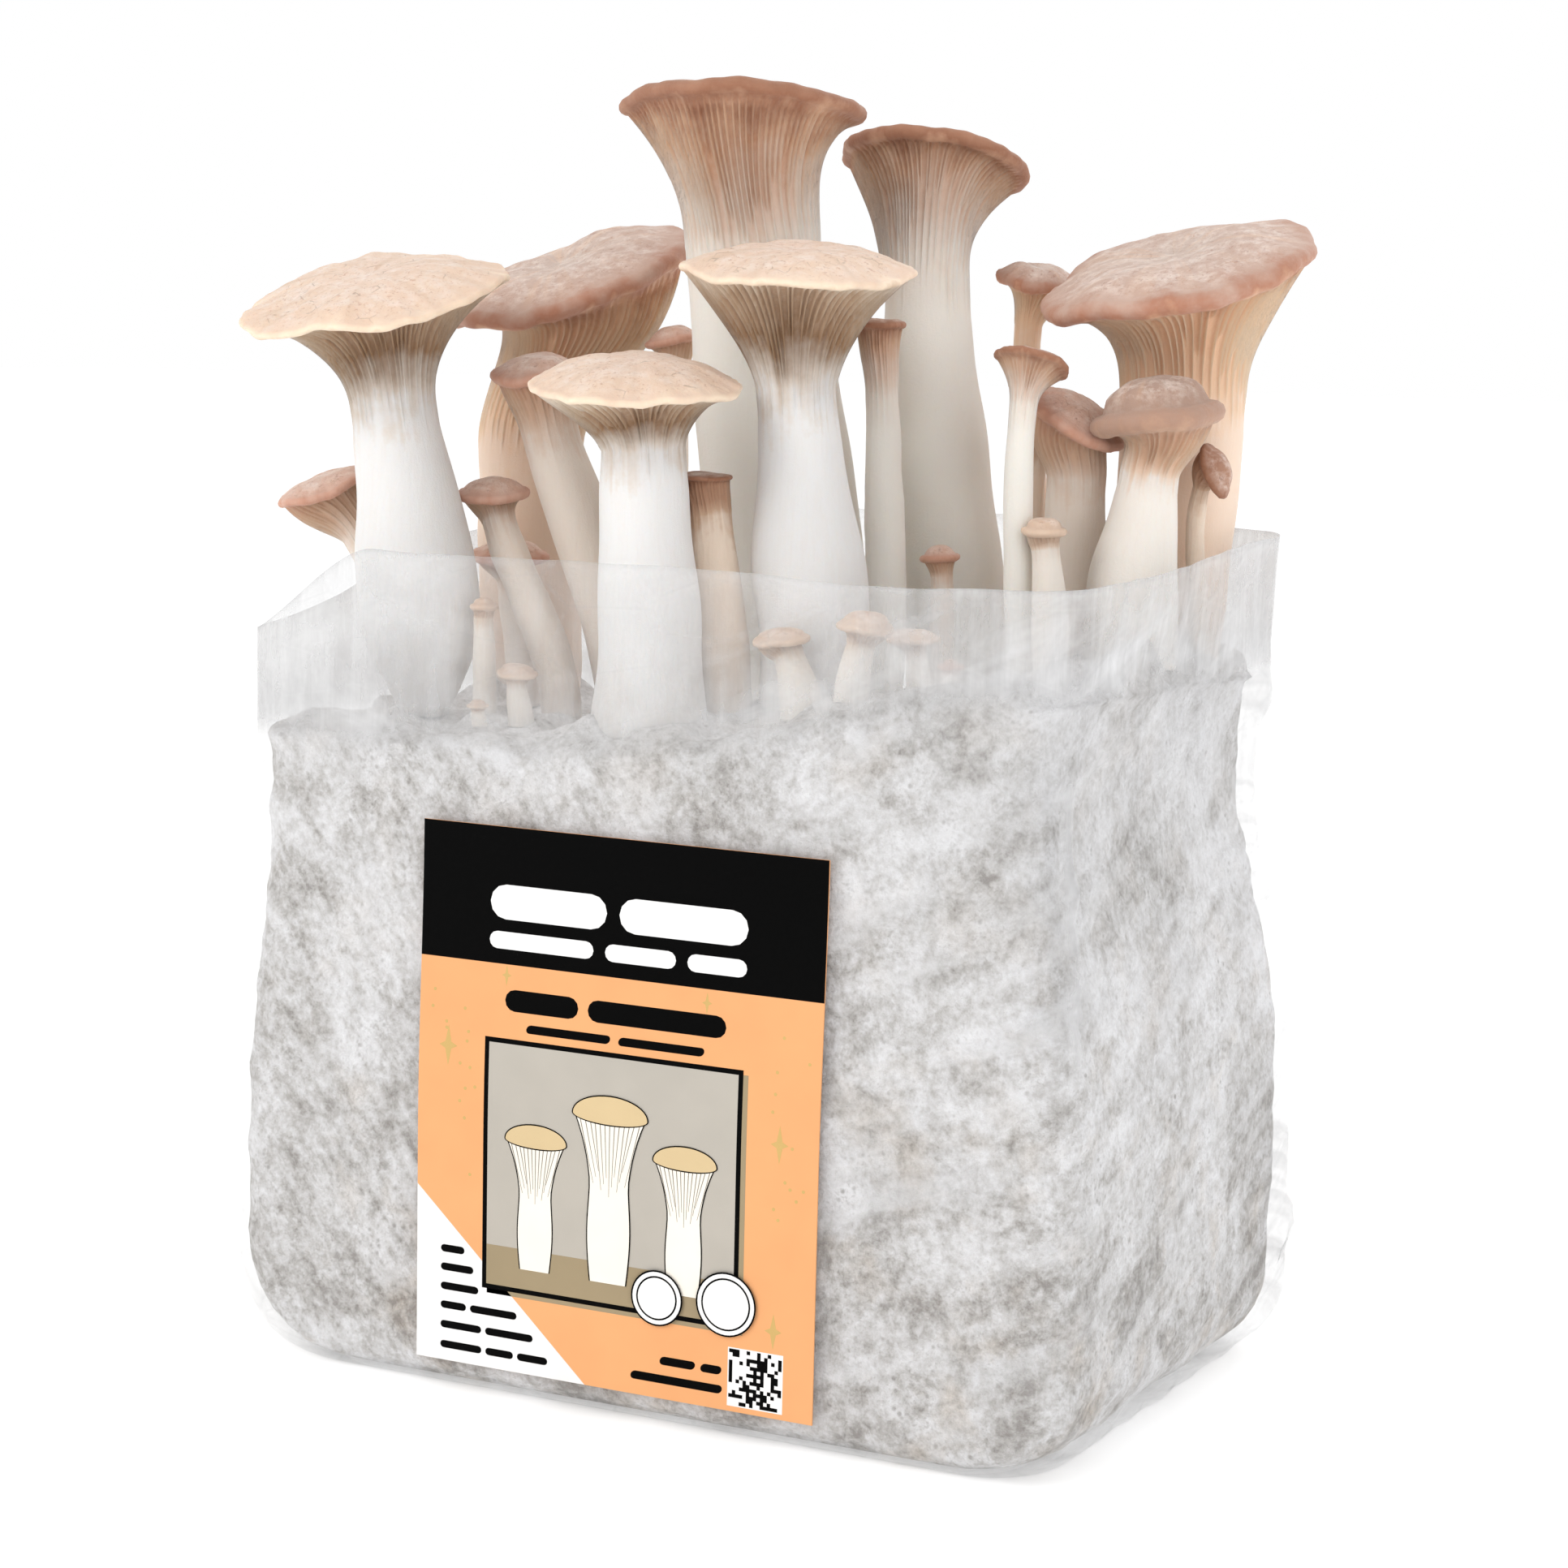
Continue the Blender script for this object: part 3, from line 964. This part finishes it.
def drawn_mushroom(inks, x, base, height, cap, stem, layer):
    """A plain drawing of a trumpet mushroom: outline, stem, cap and gill lines."""
    cap_z = base + height - cap * CAP_FLAT
    for name, grow, at in (("black", OUTLINE_WIDTH, layer), ("cream", 0.0, layer + 1)):
        sides = []
        for step in range(17):
            share = step / 16.0
            flare = max(0.0, (share - 0.40) / 0.60) ** 2.4
            belly = 0.10 * math.sin(math.pi * min(share / 0.6, 1.0))
            half = stem * (0.5 + belly) + (cap * 0.47 - stem * 0.5) * flare + grow
            sides.append((half, base + (cap_z - base) * share))
        right = [(x + half, z) for half, z in sides]
        left = [(x - half, z) for half, z in reversed(sides)]
        inks[name].shape(right + left, at)
    for number in range(-6, 7):
        top_x = x + cap * 0.068 * number
        low_x = x + stem * 0.075 * number
        low_z = base + (cap_z - base) * (0.52 + 0.05 * (number % 3) + 0.012 * abs(number))
        high_z = cap_z - GILL_LINE_GAP
        inks["grey"].shape([(low_x - GILL_LINE_LOW, low_z), (low_x + GILL_LINE_LOW, low_z),
                            (top_x + GILL_LINE_HIGH, high_z), (top_x - GILL_LINE_HIGH, high_z)], layer + 2)
    for name, grow, at in (("black", OUTLINE_WIDTH, layer + 2), ("tan", 0.0, layer + 3)):
        outline = []
        for step in range(40):
            turn = math.tau * step / 40
            lift = CAP_FLAT if math.sin(turn) > 0 else CAP_UNDERSIDE
            cap_x = x + (cap * 0.5 + grow) * math.cos(turn)
            outline.append((cap_x, cap_z + (cap * lift + grow) * math.sin(turn)))
        inks[name].shape(outline, at)


def star(ink, x, z, size, layer):
    """A slim four-pointed star."""
    outline = []
    for number in range(8):
        reach = size if number % 2 == 0 else size * 0.24
        wide = 0.5 if number % 4 == 0 else 1.0
        turn = math.tau * number / 8.0
        outline.append((x + reach * wide * math.cos(turn), z + reach * math.sin(turn)))
    ink.shape(outline, layer)


def print_header(inks):
    """The dark band with bars where a name would stand, and bars for a title and a subtitle under it."""
    inks["black"].box(0, HEADER_BOTTOM, LABEL_WIDTH, LABEL_HEIGHT - HEADER_BOTTOM, 1)
    for left, bottom, long, tall in ((17.0, 100.8, 28.5, 7.6), (48.5, 100.8, 30.5, 7.6),
                                     (17.0, 94.3, 25.5, 3.8), (45.3, 94.3, 17.0, 3.8),
                                     (65.0, 94.3, 14.0, 3.8)):
        inks["white"].bar(left, bottom, long, tall, 2)
    for left, bottom, long, tall in ((21.3, 80.8, 18.0, 4.8), (41.6, 80.8, 33.1, 4.8)):
        inks["black"].bar(left, bottom, long, tall, 1)
    for left, long in ((26.5, 20.5), (49.0, 20.5)):
        inks["black"].bar(left, 76.4, long, 1.9, 1, 0.25)


def print_picture(inks):
    """A framed plain drawing: three upright trumpet mushrooms in a row on a strip of ground."""
    left, bottom, wide, tall = PICTURE
    inner_left = left + PICTURE_FRAME
    inner_bottom = bottom + PICTURE_FRAME
    inner_wide = wide - 2 * PICTURE_FRAME
    inner_tall = tall - 2 * PICTURE_FRAME
    inks["taupe"].box(left + 1.2, bottom - 1.0, wide, tall, 1)
    inks["black"].box(left, bottom, wide, tall, 2)
    inks["stone"].box(inner_left, inner_bottom, inner_wide, inner_tall, 3)
    inks["taupe"].box(inner_left, inner_bottom, inner_wide, PICTURE_GROUND, 4)
    base = inner_bottom + PICTURE_GROUND / 2
    for number, (x, share, cap, stem) in enumerate(DRAWN_MUSHROOMS):
        drawn_mushroom(inks, left + wide * x, base, inner_tall * share, cap, stem, 5 + 3 * number)


def print_corner(inks):
    """The white corner with lines of small bars."""
    inks["white"].shape([(0, 0), (42.5, 0), (0, 39.5)], 1)
    for bottom, words in ((24.8, (6.0,)), (20.6, (8.3,)), (16.2, (9.6,)), (11.9, (6.5, 11.8)),
                          (7.4, (10.4, 12.0)), (2.8, (10.5, 7.0, 7.6))):
        left = 6.1
        for long in words:
            inks["black"].bar(left, bottom, long, 1.7, 2)
            left += long + 1.0


def print_seals(inks):
    """Two blank round discs on the picture's lower edge, each with a thin ring."""
    for x, z, radius in ((60.0, 22.4, 5.8), (76.5, 23.5, 6.7)):
        inks["black"].disc(x, z, radius + 0.4, PICTURE_LAYERS, 40)
        inks["white"].disc(x, z, radius, PICTURE_LAYERS + 1, 40)
        inks["black"].disc(x, z, radius - 0.9, PICTURE_LAYERS + 2, 40)
        inks["white"].disc(x, z, radius - 1.3, PICTURE_LAYERS + 3, 40)


def print_modules(inks, random):
    """A square of small random modules that says nothing, with two bars beside it."""
    cell = MODULES_WIDTH / MODULES
    inks["white"].box(77.0, 1.2, 13.0, 13.0, 1)
    for row in range(MODULES):
        for column in range(MODULES):
            if random.random() < 0.5:
                inks["black"].box(MODULES_LEFT + column * cell, MODULES_BOTTOM + row * cell, cell, cell, 2)
    for left, long, bottom in ((60.5, 8.5, 7.6), (70.3, 5.0, 7.6), (53.5, 22.0, 3.4)):
        inks["black"].bar(left, bottom, long, 1.9, 1, 0.25)


def print_field(inks, random):
    """Faint stars and dots on the coloured field."""
    for x, z, size in ((7.4, 71.6, 4.6), (88.0, 59.8, 4.2), (87.5, 19.1, 4.0), (21.5, 88.6, 2.4),
                       (70.0, 88.0, 2.4)):
        star(inks["olive"], x, z, size, 1)
    for _ in range(FIELD_DOTS):
        side = random.choice([random.uniform(2, 15), random.uniform(83, 95)])
        inks["olive"].disc(side, random.uniform(42, 88), 0.4, 1, 12)


def make_label():
    """The sticker: a paper sheet and the plain shapes printed on it, with no lettering."""
    inks = {
        "orange": Print("label_sheet", tone(236, 170, 118)),
        "black": Print("label_print_black", tone(8, 8, 8)),
        "white": Print("label_print_white", tone(240, 239, 238)),
        "cream": Print("label_print_cream", tone(246, 240, 228)),
        "tan": Print("label_print_tan", tone(214, 190, 148)),
        "taupe": Print("label_print_taupe", tone(160, 144, 116)),
        "stone": Print("label_print_stone", tone(184, 178, 168)),
        "grey": Print("label_print_grey", tone(136, 128, 118)),
        "olive": Print("label_print_olive", tone(206, 172, 110)),
    }
    random = np.random.default_rng(7)
    inks["orange"].box(0, 0, LABEL_WIDTH, LABEL_HEIGHT, 0, LABEL_THICKNESS)
    print_header(inks)
    print_picture(inks)
    print_corner(inks)
    print_seals(inks)
    print_modules(inks, random)
    print_field(inks, random)
    for name, ink in inks.items():
        piece = ink.make()
        if name == "orange":
            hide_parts("label")


# ---------------------------------------------------------------- camera, lights and floor

def make_camera():
    azimuth, elevation = math.radians(CAMERA_AZIMUTH), math.radians(CAMERA_ELEVATION)
    roll = math.radians(CAMERA_ROLL)
    back = Vector((math.sin(azimuth) * math.cos(elevation), -math.cos(azimuth) * math.cos(elevation),
                   math.sin(elevation)))
    right = Vector((math.cos(azimuth), math.sin(azimuth), 0.0))
    up = back.cross(right)
    across = right * math.cos(roll) + up * math.sin(roll)
    upright = up * math.cos(roll) - right * math.sin(roll)
    camera = bpy.data.objects.new("camera", bpy.data.cameras.new("camera"))
    camera.data.lens = CAMERA_LENS
    camera.data.sensor_width = 36.0
    place = right * AIM_RIGHT + Vector((0.0, 0.0, AIM_HEIGHT)) + back * CAMERA_DISTANCE
    turned = Matrix((across, upright, back)).transposed()
    camera.matrix_world = Matrix.Translation(place * MM) @ turned.to_4x4()
    bpy.context.collection.objects.link(camera)
    bpy.context.scene.camera = camera


def make_light(name, place, power, size, colour=(1.0, 1.0, 1.0)):
    """A soft square light that faces the middle of the object."""
    lamp = bpy.data.lights.new(name, "AREA")
    lamp.energy = power
    lamp.size = size
    lamp.color = colour
    light = bpy.data.objects.new(name, lamp)
    light.location = place
    aim = Vector((0.0, 0.0, 0.16)) - Vector(place)
    light.rotation_euler = aim.to_track_quat("-Z", "Y").to_euler()
    bpy.context.collection.objects.link(light)


def make_stage():
    """Pale floor, soft studio lights and an even pale surround."""
    mesh = bpy.data.meshes.new("floor")
    floor_shape = bmesh.new()
    bmesh.ops.create_circle(floor_shape, cap_ends=True, segments=96, radius=FLOOR_RADIUS)
    floor_shape.to_mesh(mesh)
    floor_shape.free()
    nodes = Nodes("floor")
    grain = nodes.noise(nodes.place(), 30.0, 2.0)
    colour = nodes.ramp(grain, ((0.3, (0.90, 0.90, 0.90, 1.0)), (0.7, (0.92, 0.92, 0.92, 1.0))))
    material = nodes.finish(Base_Color=colour, Roughness=0.9)
    nodes.shader.inputs["Emission Color"].default_value = (1.0, 1.0, 1.0, 1.0)
    nodes.shader.inputs["Emission Strength"].default_value = 0.32
    mesh.materials.append(material)
    floor = bpy.data.objects.new("floor", mesh)
    floor.location = (0.0, 0.0, cad_low.z)
    bpy.context.collection.objects.link(floor)
    make_light("key", (-0.75, -1.0, 1.05), 8.0, 0.9, (1.0, 0.99, 0.97))
    make_light("fill", (1.25, -0.55, 0.6), 4.0, 1.0, (0.98, 0.98, 1.0))
    make_light("back", (0.4, 1.2, 1.0), 4.5, 0.9)
    world = bpy.data.worlds.new("studio")
    world.use_nodes = True
    surround = world.node_tree.nodes["Background"]
    surround.inputs["Color"].default_value = (1.0, 1.0, 1.0, 1.0)
    seen = world.node_tree.nodes.new("ShaderNodeLightPath")
    strength = world.node_tree.nodes.new("ShaderNodeMapRange")
    strength.inputs["To Min"].default_value = SURROUND_LIGHT
    strength.inputs["To Max"].default_value = 1.0
    world.node_tree.links.new(seen.outputs["Is Camera Ray"], strength.inputs["Value"])
    world.node_tree.links.new(strength.outputs["Result"], surround.inputs["Strength"])
    bpy.context.scene.world = world
    bpy.context.scene.view_settings.view_transform = "Standard"


def main():
    make_camera()
    make_stage()
    looks = {name: Look(*(tone(*part) for part in parts)) for name, parts in LOOK_COLOURS.items()}
    materials = {name: mushroom_material(name, look) for name, look in looks.items()}
    for number, kind in enumerate(MUSHROOMS):
        make_mushroom(kind, 100 + number, materials)
    make_block()
    make_bag()
    make_label()


main()
